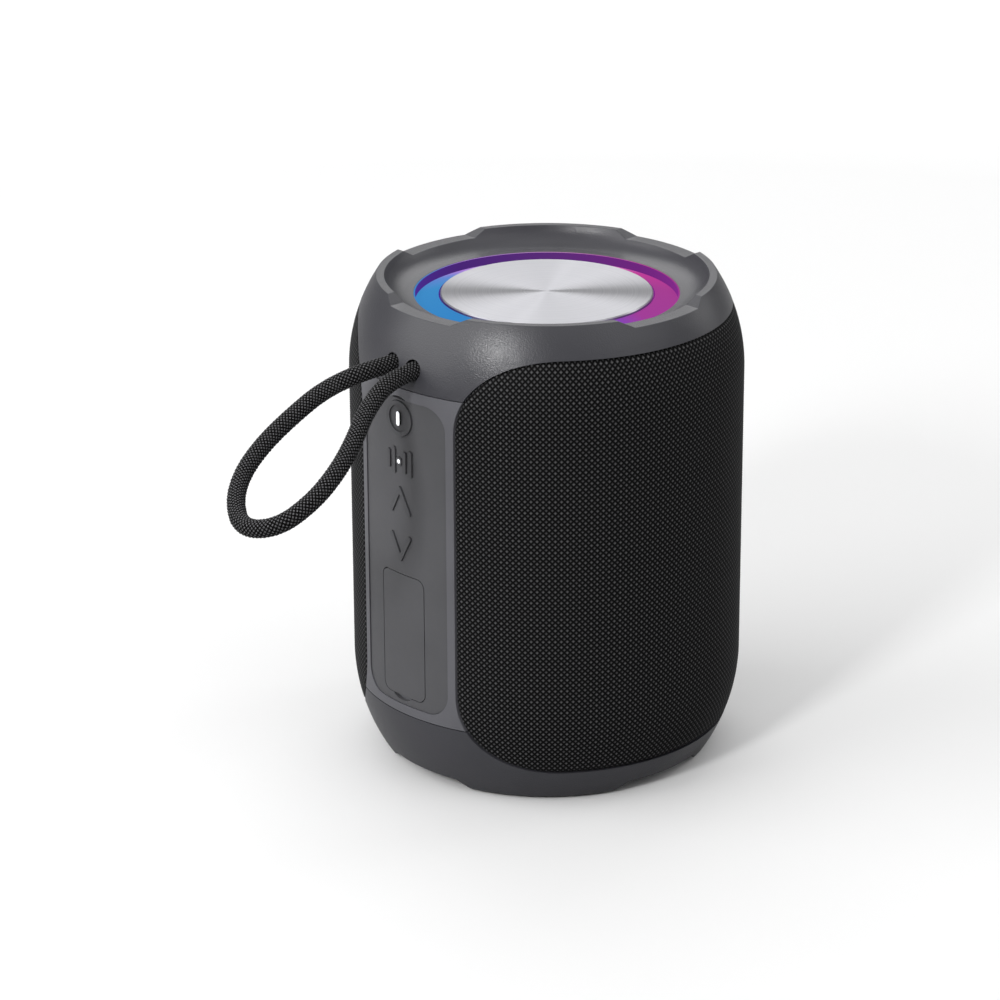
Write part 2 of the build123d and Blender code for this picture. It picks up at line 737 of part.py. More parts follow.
with BuildPart() as inner_chassis:
    bulk(CHASSIS_DEPTH, 10.0, 100.0)
    with BuildSketch(Plane.XY.offset(5.0)):
        with Locations((0, -34.0 - FAR / 2)):
            Rectangle(2 * FAR, FAR)
    extrude(amount=100.0, mode=Mode.SUBTRACT)
    add(chassis_hollow.part, mode=Mode.SUBTRACT)
    # flange that carries the radiator frame
    with BuildSketch(Plane.XY.offset(97.0)):
        Circle(28.0)
    extrude(amount=4.0, mode=Mode.SUBTRACT)
    add(baffle.part)
    # the driver's hole in the baffle, its rebate, and the opening in the front wall
    with BuildSketch(Plane.XZ.offset(-60.0)):
        with Locations((0, DRIVER_Z)):
            Circle(DRIVER_R - 3.0)
    extrude(amount=40.0, mode=Mode.SUBTRACT)
    with BuildSketch(Plane.XZ.offset(-60.0)):
        with Locations((0, DRIVER_Z)):
            Circle(DRIVER_R + 0.2)
    extrude(amount=60.0 - BAFFLE_Y, mode=Mode.SUBTRACT)
    # screw bosses in the floor
    with BuildSketch(Plane.XY.offset(11.9)):
        with PolarLocations(BASE_BOSS_R, 4):
            Circle(2.8)
    extrude(amount=6.1)
    with BuildSketch(Plane.XY.offset(9.0)):
        with PolarLocations(BASE_BOSS_R, 4):
            Circle(1.05)
    extrude(amount=7.5, mode=Mode.SUBTRACT)
    # holes for the crown screws, and bosses for the key board
    with BuildSketch(Plane.XY.offset(90.0)):
        with PolarLocations(BOSS_R, 4, start_angle=45):
            Circle(1.15)
    extrude(amount=12.0, mode=Mode.SUBTRACT)
    with BuildSketch(Plane.XY.offset(90.0)):
        with PolarLocations(BOSS_R, 4, start_angle=45):
            Circle(2.2)
    extrude(amount=8.0, mode=Mode.SUBTRACT)
    with BuildSketch(Plane.XZ.offset(33.9)):
        with Locations((-7.2, 26.0), (7.2, 26.0), (-7.2, 94.4), (7.2, 94.4)):
            Circle(1.7)
    extrude(amount=-BOARD_Y - 33.9)
    with BuildSketch(Plane.XZ.offset(33.2)):
        with Locations((-7.2, 26.0), (7.2, 26.0), (-7.2, 94.4), (7.2, 94.4)):
            Circle(0.85)
    extrude(amount=4.0, mode=Mode.SUBTRACT)
    # slot for the flat cable
    with BuildSketch(Plane.XZ.offset(30.0)):
        with Locations((0, 49.6)):
            Rectangle(10.6, 0.9)
    extrude(amount=6.0, mode=Mode.SUBTRACT)
finish(inner_chassis, "inner_chassis")

with BuildPart() as base_seal:
    tube(36.8, 34.8, 8.0, 10.0)
finish(base_seal, "base_seal")

with BuildPart() as base_screws:
    with BuildSketch(Plane.XY.offset(6.1)):
        with PolarLocations(BASE_BOSS_R, 4):
            Circle(2.1)
    extrude(amount=1.5)
    with BuildSketch(Plane.XY.offset(6.1)):
        with PolarLocations(BASE_BOSS_R, 4):
            Circle(1.0)
    extrude(amount=9.4)
    with BuildSketch(Plane.XY.offset(6.1)):
        with PolarLocations(BASE_BOSS_R, 4):
            RegularPolygon(0.9, 6)
    extrude(amount=1.0, mode=Mode.SUBTRACT)
finish(base_screws, "base_screws")

with BuildPart() as crown_screws:
    with BuildSketch(Plane.XY.offset(96.4)):
        with PolarLocations(BOSS_R, 4, start_angle=45):
            Circle(1.9)
    extrude(amount=1.6)
    with BuildSketch(Plane.XY.offset(98.0)):
        with PolarLocations(BOSS_R, 4, start_angle=45):
            Circle(0.8)
    extrude(amount=8.4)
finish(crown_screws, "crown_screws")

# ---------------------------------------------------------------- speaker driver
driver_front = Plane(origin=(0, 0, DRIVER_Z), x_dir=(1, 0, 0), z_dir=(0, 0, 1))
DRIVER_AXIS = Axis((0, 0, DRIVER_Z), (0, 1, 0))


def driver_turned(points, mode=Mode.ADD):
    """Solid of revolution about the driver's axis of a closed outline of (radius, y) points."""
    with BuildSketch(driver_front) as outline:
        with BuildLine():
            Polyline(*points, close=True)
        make_face()
    revolve(outline.sketch, axis=DRIVER_AXIS, mode=mode)


with BuildPart() as driver_basket:
    driver_turned([
        (16.2, 9.0),
        (17.4, 9.0),
        (21.8, 17.0),
        (21.8, BAFFLE_Y),
        (DRIVER_R, BAFFLE_Y),
        (DRIVER_R, BAFFLE_Y + 1.6),
        (22.6, BAFFLE_Y + 1.6),
        (22.6, BAFFLE_Y + 0.8),
        (20.8, BAFFLE_Y + 0.8),
        (20.8, 17.4),
        (16.2, 10.2),
    ])
    with BuildSketch(Plane.XZ.offset(-22.0)):
        with Locations((0, DRIVER_Z)):
            with PolarLocations(23.8, 4, start_angle=45):
                Circle(0.9)
    extrude(amount=-10.0, mode=Mode.SUBTRACT)
finish(driver_basket, "driver_basket")

with BuildPart() as driver_motor:
    driver_turned([
        (0, 0.0),
        (16.0, 0.0),
        (16.2, 0.2),
        (16.2, 10.0),
        (8.2, 10.0),
        (8.2, 2.4),
        (6.4, 2.4),
        (6.4, 10.0),
        (0, 10.0),
    ])
finish(driver_motor, "driver_motor")

with BuildPart() as voice_coil:
    driver_turned([(6.9, 5.2), (7.6, 5.2), (7.6, 16.4), (6.9, 16.4)])
finish(voice_coil, "voice_coil")

with BuildPart() as driver_cone:
    driver_turned([(7.6, 15.6), (18.6, 24.6), (18.6, 25.4), (7.6, 16.4)])
finish(driver_cone, "driver_cone")

DOME_R = 13.7
DOME_Y = 5.6


def dome_point(x, radius):
    """Point of the dust cap's dome at a distance from the driver's axis."""
    return (x, DOME_Y + sqrt(radius**2 - x**2))


with BuildPart() as dust_cap:
    with BuildSketch(driver_front):
        with BuildLine():
            Polyline((0, DOME_Y + DOME_R - 0.5), (0, DOME_Y + DOME_R))
            ThreePointArc((0, DOME_Y + DOME_R), dome_point(3.8, DOME_R), dome_point(7.4, DOME_R))
            Line(dome_point(7.4, DOME_R), dome_point(7.4, DOME_R - 0.5))
            ThreePointArc(
                dome_point(7.4, DOME_R - 0.5),
                dome_point(3.8, DOME_R - 0.5),
                (0, DOME_Y + DOME_R - 0.5),
            )
        make_face()
    revolve(axis=DRIVER_AXIS)
finish(dust_cap, "dust_cap")

with BuildPart() as driver_surround:
    with BuildSketch(driver_front):
        with BuildLine():
            ThreePointArc((18.6, 25.4), (20.3, 28.0), (22.0, BAFFLE_Y + 0.8))
            Line((22.0, BAFFLE_Y + 0.8), (22.6, BAFFLE_Y + 0.8))
            Line((22.6, BAFFLE_Y + 0.8), (22.6, BAFFLE_Y + 1.2))
            ThreePointArc((22.6, BAFFLE_Y + 1.2), (20.3, 28.6), (18.1, 25.4))
            Line((18.1, 25.4), (18.6, 25.4))
        make_face()
    revolve(axis=DRIVER_AXIS)
finish(driver_surround, "driver_surround")

SPIDER_WAVE = (
    (7.6, 13.0),
    (9.2, 13.6),
    (10.8, 12.8),
    (12.4, 13.6),
    (14.0, 12.8),
    (15.4, 13.4),
    (17.6, 13.4),
)

with BuildPart() as driver_spider:
    driver_turned([
        *[(r, y) for r, y in SPIDER_WAVE],
        *[(r, y + 0.45) for r, y in reversed(SPIDER_WAVE)],
    ])
finish(driver_spider, "driver_spider")

with BuildPart() as driver_screws:
    with BuildSketch(Plane.XZ.offset(-BAFFLE_Y - 1.6)):
        with Locations((0, DRIVER_Z)):
            with PolarLocations(23.8, 4, start_angle=45):
                Circle(1.15)
    extrude(amount=-0.8)
    with BuildSketch(Plane.XZ.offset(-BAFFLE_Y - 1.6)):
        with Locations((0, DRIVER_Z)):
            with PolarLocations(23.8, 4, start_angle=45):
                Circle(0.8)
    extrude(amount=1.6)
finish(driver_screws, "driver_screws")

# ---------------------------------------------------------------- power and electronics
with BuildPart() as battery_holder:
    with BuildSketch(Plane.XY.offset(12.0)):
        with Locations((0, -14.6)):
            RectangleRounded(41.0, 20.0, 3.0)
    extrude(amount=5.0)
    with BuildSketch(Plane.XY.offset(13.4)):
        with Locations((-9.9, -14.6), (9.9, -14.6)):
            Circle(9.35)
    extrude(amount=5.0, mode=Mode.SUBTRACT)
finish(battery_holder, "battery_holder")

with BuildPart() as battery_cells:
    with BuildSketch(Plane.XY.offset(13.5)):
        with Locations((-9.9, -14.6), (9.9, -14.6)):
            Circle(9.2)
    extrude(amount=65.0)
    fillet(battery_cells.edges().group_by(Axis.Z)[-1], radius=0.8)
finish(battery_cells, "battery_cells")

with BuildPart() as main_board:
    with BuildSketch(Plane.XZ.offset(27.0)):
        with Locations((0, 52.0)):
            RectangleRounded(40.0, 62.0, 2.0)
    extrude(amount=1.6)
finish(main_board, "main_board")

with BuildPart() as board_chips:
    with BuildSketch(Plane.XZ.offset(28.6)):
        with Locations((-8.0, 66.0)):
            Rectangle(9.0, 9.0)
        with Locations((9.0, 66.0)):
            Rectangle(6.0, 6.0)
        with Locations((-9.0, 38.0)):
            Rectangle(7.0, 10.0)
    extrude(amount=1.1)
    with BuildSketch(Plane.XZ.offset(28.6)):
        with Locations((9.0, 38.0), (15.5, 38.0)):
            Circle(2.6)
    extrude(amount=2.6)
finish(board_chips, "board_chips")

with BuildPart() as key_cable:
    with BuildSketch(Plane.XZ.offset(28.6)):
        with Locations((0, 49.6)):
            Rectangle(10.0, 0.3)
    extrude(amount=-BOARD_Y - 28.6)
finish(key_cable, "key_cable")

# ---------------------------------------------------------------- lanyard
directions = [Vector(*b) - Vector(*a) for a, b in zip(ROPE_ROUTE, ROPE_ROUTE[1:])]
bends = []
for before, after in zip(directions, directions[1:]):
    turn = before.get_angle(after)
    bends.append(0.45 * min(before.length, after.length) / tan(radians(turn / 2)))
print("lanyard bend radii", [round(bend, 1) for bend in bends])

with BuildPart() as lanyard:
    with BuildLine() as lanyard_path:
        FilletPolyline(*ROPE_ROUTE, radius=bends)
    with BuildSketch(Plane(origin=ROPE_ROUTE[0], z_dir=directions[0])):
        Circle(ROPE_D / 2)
    sweep()
lanyard_length = lanyard_path.wires()[0].length
print("lanyard length", round(lanyard_length, 1))
tube_share = lanyard.part.volume / (pi * (ROPE_D / 2) ** 2 * lanyard_length)
print("tube volume over section times length", round(tube_share, 4))
finish(lanyard, "lanyard")

with BuildPart() as lanyard_retainer:
    add(skin_piece(SKIRT + 0.05, SKIRT + 1.25, 99.5, 108.5, front_shape(8.0, 100.2, 107.4, 1.5)))
    with BuildSketch(Plane.XZ.offset(34.5)):
        with Locations((-ROPE_EXIT_X, ROPE_EXIT_Z), (ROPE_EXIT_X, ROPE_EXIT_Z)):
            Circle(ROPE_D / 2 + 0.05)
    extrude(amount=14.0, mode=Mode.SUBTRACT)
finish(lanyard_retainer, "lanyard_retainer")

with BuildPart() as lanyard_ferrules:
    with BuildSketch(Plane.XZ.offset(34.8)):
        with Locations((-ROPE_EXIT_X, ROPE_EXIT_Z), (ROPE_EXIT_X, ROPE_EXIT_Z)):
            Circle(FERRULE_R)
    extrude(amount=2.4)
finish(lanyard_ferrules, "lanyard_ferrules")
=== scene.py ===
"""Looks of the portable shower speaker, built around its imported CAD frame. Metres, +Z up, spine faces -Y."""

import json
import math

import bpy
import numpy as np
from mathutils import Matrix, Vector


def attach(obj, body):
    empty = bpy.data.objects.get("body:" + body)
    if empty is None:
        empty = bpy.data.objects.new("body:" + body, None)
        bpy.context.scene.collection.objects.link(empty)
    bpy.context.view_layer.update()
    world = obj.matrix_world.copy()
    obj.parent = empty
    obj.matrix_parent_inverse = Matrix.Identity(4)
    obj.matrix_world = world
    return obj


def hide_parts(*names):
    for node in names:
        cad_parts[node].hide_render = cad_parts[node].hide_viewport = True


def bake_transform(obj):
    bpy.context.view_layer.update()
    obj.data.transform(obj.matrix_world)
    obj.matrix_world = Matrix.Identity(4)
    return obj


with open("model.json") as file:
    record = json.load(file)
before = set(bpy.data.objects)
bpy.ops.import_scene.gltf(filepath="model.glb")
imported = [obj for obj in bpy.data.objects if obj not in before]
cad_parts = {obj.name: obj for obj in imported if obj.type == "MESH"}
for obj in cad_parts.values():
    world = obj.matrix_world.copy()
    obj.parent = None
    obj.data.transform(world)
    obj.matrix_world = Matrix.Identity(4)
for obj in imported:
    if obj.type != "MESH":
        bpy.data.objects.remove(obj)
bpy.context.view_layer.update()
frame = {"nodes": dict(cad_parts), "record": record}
MM = 0.001

# ---------------------------------------------------------------- sizes that the looks share, in metres
BODY_R = 46.0 * MM
SHOULDER_Z, SHOULDER_R = 93.5 * MM, 40.0 * MM
HIP_Z, HIP_R = 24.0 * MM, 43.0 * MM
WINDOW_TOP, WINDOW_BOTTOM = 108.5 * MM, 8.5 * MM
WINDOW_CORNER = 18.4 * MM
SPINE_HALF = 15.5 * MM
ROPE_D = 4.3 * MM
ROPE_ROUTE = [
    (-3.4, -37.2, 103.1),
    (-3.4, -43.9, 103.1),
    (-5.0, -53.1, 102.4),
    (-9.8, -59.9, 98.6),
    (-11.2, -67.7, 94.1),
    (-11.7, -75.5, 89.5),
    (-10.0, -83.2, 84.9),
    (-5.0, -89.7, 80.9),
    (3.2, -94.0, 78.2),
    (11.8, -90.9, 80.3),
    (14.5, -83.2, 85.1),
    (13.5, -75.4, 89.7),
    (10.4, -68.0, 93.9),
    (6.2, -61.0, 97.8),
    (3.8, -53.2, 101.9),
    (3.4, -43.9, 103.1),
    (3.4, -37.2, 103.1),
]

# ---------------------------------------------------------------- camera
CAMERA_AZIMUTH = math.radians(46.6)
CAMERA_REACH = 0.81626
CAMERA_HEIGHT = 0.37415
CAMERA_PITCH = 0.3681
scene = bpy.context.scene
camera_data = bpy.data.cameras.new("camera")
camera_data.lens = 133.44
camera_data.sensor_width = 36.0
camera_data.shift_x = -0.04676
camera = bpy.data.objects.new("camera", camera_data)
camera.location = (
    CAMERA_REACH * math.sin(CAMERA_AZIMUTH),
    -CAMERA_REACH * math.cos(CAMERA_AZIMUTH),
    CAMERA_HEIGHT,
)
camera.rotation_euler = (math.pi / 2 - CAMERA_PITCH, 0.0, CAMERA_AZIMUTH)
scene.collection.objects.link(camera)
scene.camera = camera


# ---------------------------------------------------------------- helpers for meshes
def object_from(name, points, faces, smooth=True):
    """A mesh object from a list of points and a list of faces."""
    mesh = bpy.data.meshes.new(name)
    mesh.from_pydata([tuple(p) for p in points], [], [tuple(int(i) for i in f) for f in faces])
    mesh.update()
    if smooth:
        mesh.polygons.foreach_set("use_smooth", [True] * len(mesh.polygons))
    made = bpy.data.objects.new(name, mesh)
    scene.collection.objects.link(made)
    return made


def radius_at(z, depth=0.0):
    """Radius of the body's surface at heights z, depth under its skin."""
    z = np.asarray(z, float)
    top = BODY_R - SHOULDER_R + np.sqrt(
        np.maximum((SHOULDER_R - depth) ** 2 - np.maximum(z - SHOULDER_Z, 0) ** 2, 0)
    )
    low = BODY_R - HIP_R + np.sqrt(
        np.maximum((HIP_R - depth) ** 2 - np.maximum(HIP_Z - z, 0) ** 2, 0)
    )
    return np.where(z > SHOULDER_Z, top, np.where(z < HIP_Z, low, BODY_R - depth))


# ---------------------------------------------------------------- helpers for materials
class Nodes:
    """A material with a Principled shader and short calls for the nodes that feed it."""

    def __init__(self, name, **constants):
        self.material = bpy.data.materials.new(name)
        self.material.use_nodes = True
        self.tree = self.material.node_tree
        self.shader = self.tree.nodes["Principled BSDF"]
        for socket, value in constants.items():
            self.shader.inputs[socket.replace("_", " ")].default_value = value

    def add(self, kind, **inputs):
        node = self.tree.nodes.new(kind)
        for key, value in inputs.items():
            setattr(node, key, value)
        return node

    def link(self, output, target):
        self.tree.links.new(output, target)

    def math(self, operation, a, b=None, c=None):
        node = self.add("ShaderNodeMath", operation=operation)
        for slot, value in enumerate((a, b, c)):
            if value is None:
                continue
            if isinstance(value, (int, float)):
                node.inputs[slot].default_value = value
            else:
                self.link(value, node.inputs[slot])
        return node.outputs[0]

    def position(self):
        """Place on the object in its own coordinates, so that a pattern moves with it."""
        coordinate = self.add("ShaderNodeTexCoord")
        return coordinate.outputs["Object"]

    def noise(self, scale, detail=2.0, roughness=0.5):
        node = self.add("ShaderNodeTexNoise")
        node.inputs["Scale"].default_value = scale
        node.inputs["Detail"].default_value = detail
        node.inputs["Roughness"].default_value = roughness
        self.link(self.position(), node.inputs["Vector"])
        return node.outputs["Fac"]

    def spread(self, value, low, high):
        """A 0..1 value laid over the range from low to high."""
        node = self.add("ShaderNodeMapRange")
        node.inputs["To Min"].default_value = low
        node.inputs["To Max"].default_value = high
        self.link(value, node.inputs["Value"])
        return node.outputs["Result"]

    def ramp(self, value, stops, interpolation="LINEAR"):
        node = self.add("ShaderNodeValToRGB")
        node.color_ramp.interpolation = interpolation
        elements = node.color_ramp.elements
        while len(elements) < len(stops):
            elements.new(0.5)
        for element, (place, colour) in zip(elements, stops):
            element.position = place
            element.color = (*colour, 1.0)
        self.link(value, node.inputs["Fac"])
        return node.outputs["Color"]

    def bump(self, height, strength, distance, before=None):
        node = self.add("ShaderNodeBump")
        node.inputs["Strength"].default_value = strength
        node.inputs["Distance"].default_value = distance
        self.link(height, node.inputs["Height"])
        if before is not None:
            self.link(before, node.inputs["Normal"])
        return node.outputs["Normal"]


def srgb(r, g, b):
    """Linear colour of a screen colour from 0 to 255."""
    return tuple(
        c / 255 / 12.92 if c / 255 <= 0.04045 else ((c / 255 + 0.055) / 1.055) ** 2.4 for c in (r, g, b)
    )


DRIFT, GLOSS, PITS = 60.0, 900.0, 3000.0  # noise scales per metre: colour drift, uneven gloss, moulded grain
PIT_DEPTH = 0.06 * MM
SCRATCH_DEPTH = 0.02 * MM
FIBRE_DEPTH = 0.03 * MM
TURNING_PITCH = 0.35 * MM  # from one cutting mark of the turned disc to the next


def moulded(name, colour, roughness, grain=0.35, sheen=0.0, coat=0.0):
    """Moulded plastic or rubber: fine spark-eroded grain, slight colour drift, uneven gloss."""
    m = Nodes(name)
    m.shader.inputs["Sheen Weight"].default_value = sheen
    m.shader.inputs["Coat Weight"].default_value = coat
    m.shader.inputs["Coat Roughness"].default_value = 0.35
    drift = m.noise(DRIFT, 3.0)
    dark = tuple(c * 0.93 for c in colour)
    light = tuple(min(1.0, c * 1.07) for c in colour)
    m.link(m.ramp(drift, [(0.3, dark), (0.7, light)]), m.shader.inputs["Base Color"])
    m.link(m.spread(m.noise(GLOSS, 3.0), roughness - 0.05, roughness + 0.05), m.shader.inputs["Roughness"])
    m.link(m.bump(m.noise(PITS, 2.0), grain, PIT_DEPTH), m.shader.inputs["Normal"])
    return m.material


def metal(name, colour, roughness):
    """Bare metal with fine scratches and uneven gloss."""
    m = Nodes(name, Metallic=1.0)
    m.shader.inputs["Base Color"].default_value = (*colour, 1.0)
    m.link(m.spread(m.noise(700.0, 4.0), roughness - 0.08, roughness + 0.08), m.shader.inputs["Roughness"])
    m.link(m.bump(m.noise(2500.0, 3.0), 0.2, SCRATCH_DEPTH), m.shader.inputs["Normal"])
    return m.material


def polar(m):
    """Where a place on the object is about Z: its angle, from 0 to 1 from the -X axis, and its radius."""
    split = m.add("ShaderNodeSeparateXYZ")
    m.link(m.position(), split.inputs[0])
    x, y = split.outputs[0], split.outputs[1]
    angle = m.math("ADD", m.math("DIVIDE", m.math("ARCTAN2", y, x), 2 * math.pi), 0.5)
    radius = m.math("SQRT", m.math("ADD", m.math("MULTIPLY", x, x), m.math("MULTIPLY", y, y)))
    return angle, radius


def spun_metal(name):
    """Turned aluminium: round cutting marks about Z, and a sheen that fans out from the middle."""
    m = Nodes(name, Metallic=1.0, Roughness=0.31, Anisotropic=0.93, Anisotropic_Rotation=0.25)
    tangent = m.add("ShaderNodeTangent", direction_type="RADIAL", axis="Z")
    m.link(tangent.outputs[0], m.shader.inputs["Tangent"])
    _, radius = polar(m)
    wave = m.math("SINE", m.math("MULTIPLY", radius, 2 * math.pi / TURNING_PITCH))
    mixed = m.math("ADD", m.math("MULTIPLY", wave, 0.5), m.noise(3000.0, 2.0))
    m.link(m.bump(mixed, 0.10, SCRATCH_DEPTH), m.shader.inputs["Normal"])
    tone = m.add("ShaderNodeTexNoise", noise_dimensions="1D")
    tone.inputs["Scale"].default_value = 2600.0
    m.link(radius, tone.inputs["W"])
    m.link(
        m.ramp(tone.outputs["Fac"], [(0.25, srgb(176, 176, 181)), (0.75, srgb(190, 190, 194))]),
        m.shader.inputs["Base Color"],
    )
    return m.material


RING_FLOOR = [  # angle about Z as a share of a turn from the -X axis, colour of the lit floor
    (0.00, (170, 125, 215)),
    (0.045, (96, 135, 208)),
    (0.10, (60, 139, 199)),
    (0.27, (52, 130, 196)),
    (0.33, (60, 110, 200)),
    (0.40, (80, 80, 195)),
    (0.47, (118, 72, 190)),
    (0.53, (160, 60, 150)),
    (0.66, (165, 60, 145)),
    (0.74, (190, 60, 150)),
    (0.80, (205, 110, 190)),
    (0.88, (225, 170, 225)),
    (0.95, (195, 150, 225)),
    (1.00, (170, 125, 215)),
]
RING_WALL_SHADED = [  # the same for the upright wall round the floor: its own tint, painted darker as shade
    (0.00, (72, 38, 118)),
    (0.13, (75, 45, 150)),
    (0.38, (80, 50, 150)),
    (0.63, (135, 42, 140)),
    (0.75, (110, 38, 125)),
    (0.88, (88, 44, 118)),
    (1.00, (72, 38, 118)),
]


def lit_ring(name):
    """Milky light guide, lit from below in colours that run round it; its upright wall gets darker colours,
    painted as shade.
    """
    m = Nodes(name, Roughness=0.85)
    m.shader.inputs["Specular IOR Level"].default_value = 0.02
    angle, _ = polar(m)
    floor = m.ramp(angle, [(a, srgb(*c)) for a, c in RING_FLOOR])
    wall = m.ramp(angle, [(a, srgb(*c)) for a, c in RING_WALL_SHADED])
    geometry = m.add("ShaderNodeNewGeometry")
    up = m.add("ShaderNodeSeparateXYZ")
    m.link(geometry.outputs["Normal"], up.inputs[0])
    # faces that point up get the floor colours; upright ones get the wall colours, painted darker as shade
    flat = m.math("GREATER_THAN", up.outputs[2], 0.5)
    mix = m.add("ShaderNodeMix", data_type="RGBA")
    m.link(flat, mix.inputs[0])
    m.link(wall, mix.inputs[6])
    m.link(floor, mix.inputs[7])
    soft = m.add("ShaderNodeHueSaturation")
    soft.inputs["Value"].default_value = 0.08
    m.link(mix.outputs[2], soft.inputs["Color"])
    m.link(soft.outputs[0], m.shader.inputs["Base Color"])
    m.link(mix.outputs[2], m.shader.inputs["Emission Color"])
    m.shader.inputs["Emission Strength"].default_value = 0.92
    return m.material


def lit_white(name):
    """Lit white light guide: its face glows, and its sides are painted near-black as shade."""
    m = Nodes(name, Roughness=0.3)
    geometry = m.add("ShaderNodeNewGeometry")
    facing = m.add("ShaderNodeSeparateXYZ")
    m.link(geometry.outputs["Normal"], facing.inputs[0])
    face = m.math("LESS_THAN", facing.outputs[1], -0.8)
    glow = m.ramp(m.noise(900.0), [(0.3, (0.92, 0.95, 1.0)), (0.7, (1.0, 1.0, 1.0))])
    glow_and_painted_shade = m.add("ShaderNodeMix", data_type="RGBA")
    # painted shade: every face that doesn't face -Y gets this near-black colour
    glow_and_painted_shade.inputs[6].default_value = (0.004, 0.004, 0.004, 1.0)
    m.link(face, glow_and_painted_shade.inputs[0])
    m.link(glow, glow_and_painted_shade.inputs[7])
    m.link(glow_and_painted_shade.outputs[2], m.shader.inputs["Base Color"])
    m.link(glow_and_painted_shade.outputs[2], m.shader.inputs["Emission Color"])
    m.shader.inputs["Emission Strength"].default_value = 0.6
    return m.material


YARN = 0.675 * MM  # yarn pitch of the woven wrap
WRAP_HALF = math.radians(160.0)


def woven(name):
    """Black plain weave: raised crossings are painted grey as highlight, low ones painted near-black as shade,
    and fibres roughen both.
    """
    m = Nodes(name, Roughness=0.62)
    m.shader.inputs["Specular IOR Level"].default_value = 0.06
    height = m.add("ShaderNodeAttribute", attribute_name="weave")
    # painted highlight and shade: the raised-crossing value runs from near-black through dark grey to light
    # grey
    painted_shine_tones = [(0.1, srgb(1, 1, 1)), (0.38, srgb(36, 36, 37)), (0.85, srgb(94, 94, 95))]
    m.link(m.ramp(height.outputs["Fac"], painted_shine_tones), m.shader.inputs["Base Color"])
    m.link(m.bump(m.noise(7000.0, 2.0), 0.4, FIBRE_DEPTH), m.shader.inputs["Normal"])
    return m.material


def braided(name):
    """Black polyester yarn of the rope: the tops of its floats are painted light as highlight, and the dips
    between them painted dark as shade.
    """
    m = Nodes(name, Roughness=0.5)
    m.shader.inputs["Specular IOR Level"].default_value = 0.08
    height = m.add("ShaderNodeAttribute", attribute_name="weave")
    # painted highlight and shade: low values near-black, high values light grey
    painted_shine_tones = [(0.35, srgb(1, 1, 1)), (0.6, srgb(12, 12, 13)), (0.86, srgb(116, 116, 118))]
    m.link(m.ramp(height.outputs["Fac"], painted_shine_tones), m.shader.inputs["Base Color"])
    m.link(m.bump(m.noise(6000.0, 2.0), 0.3, FIBRE_DEPTH), m.shader.inputs["Normal"])
    return m.material


MATERIALS = {
    "crown_plastic": moulded("crown_plastic", srgb(60, 60, 65), 0.32, grain=0.9),
    "spine_plastic": moulded("spine_plastic", srgb(94, 94, 99), 0.42),
    "soft_pad": moulded("soft_pad", srgb(77, 77, 80), 0.62, grain=0.25, sheen=0.05),
    "keys": moulded("keys", srgb(74, 74, 77), 0.58, grain=0.2),
    "white_light": lit_white("white_light"),
    "ring_light": lit_ring("ring_light"),
    "spun_disc": spun_metal("spun_disc"),
    "black_fabric": woven("black_fabric"),
    "cage_plastic": moulded("cage_plastic", srgb(22, 22, 23), 0.6),
    "rope": braided("rope"),
    "black_rubber": moulded("black_rubber", srgb(30, 30, 31), 0.75),
    "inner_plastic": moulded("inner_plastic", srgb(48, 48, 50), 0.5),
    "circuit_board": moulded("circuit_board", srgb(20, 84, 52), 0.35, coat=0.4),
    "chip_black": moulded("chip_black", srgb(34, 34, 36), 0.5),
    "led_white": moulded("led_white", srgb(236, 234, 214), 0.3),
    "steel": metal("steel", srgb(190, 190, 192), 0.32),
    "basket_steel": moulded("basket_steel", srgb(30, 30, 32), 0.4),
    "paper_cone": moulded("paper_cone", srgb(40, 40, 42), 0.85, grain=0.6),
    "copper": metal("copper", srgb(200, 120, 70), 0.3),
    "battery_wrap": moulded("battery_wrap", srgb(40, 90, 160), 0.3, coat=0.3),
}

# ---------------------------------------------------------------- the carried-over CAD nodes
slot_of = {part["node"]: part["material_slot"] for part in frame["record"]["subparts"]}
for name, node in frame["nodes"].items():
    node.data.materials.clear()
    node.data.materials.append(MATERIALS[slot_of[name]])


# ---------------------------------------------------------------- the lanyard
def rope_line():
    """Points down the middle of the lanyard, read from its smooth spline."""
    curve = bpy.data.curves.new("lanyard_line", "CURVE")
    curve.dimensions = "3D"
    curve.resolution_u = 24
    spline = curve.splines.new("NURBS")
    spline.points.add(len(ROPE_ROUTE) - 1)
    for point, place in zip(spline.points, ROPE_ROUTE):
        point.co = (*[c * MM for c in place], 1.0)
    spline.order_u = 3
    spline.use_endpoint_u = True
    holder = bpy.data.objects.new("lanyard_line", curve)
    mesh = bpy.data.meshes.new_from_object(holder)
    line = np.array([v.co for v in mesh.vertices], float)
    bpy.data.meshes.remove(mesh)
    bpy.data.curves.remove(curve)
    return line


def evenly(line, step):
    """The line again with points step apart, and the length along it at each."""
    along = np.concatenate([[0], np.cumsum(np.linalg.norm(np.diff(line, axis=0), axis=1))])
    count = int(along[-1] / step) + 1
    at = np.linspace(0, along[-1], count)
    return np.stack([np.interp(at, along, line[:, k]) for k in range(3)], axis=1), at


def carried_frame(line):
    """Two directions across the line at each point, carried along it without twist."""
    tangent = np.gradient(line, axis=0)
    tangent /= np.linalg.norm(tangent, axis=1)[:, None]
    across = np.cross(tangent[0], (0.0, 0.0, 1.0))
    across /= np.linalg.norm(across)
    first = []
    for direction in tangent:
        across = across - direction * (across @ direction)
        across = across / np.linalg.norm(across)
        first.append(across)
    first = np.array(first)
    return first, np.cross(tangent, first)


STRANDS = 12  # strands that wind each way round the rope
STRAND_WIDE = 0.37 * MM  # half the width of a strand
STRAND_THICK = 0.22 * MM  # half its thickness
STRAND_WAVE = 0.17 * MM  # how far a strand rises and dips where it crosses others
STRAND_R = ROPE_D / 2 - STRAND_THICK - STRAND_WAVE
STRAND_SIDES = 6


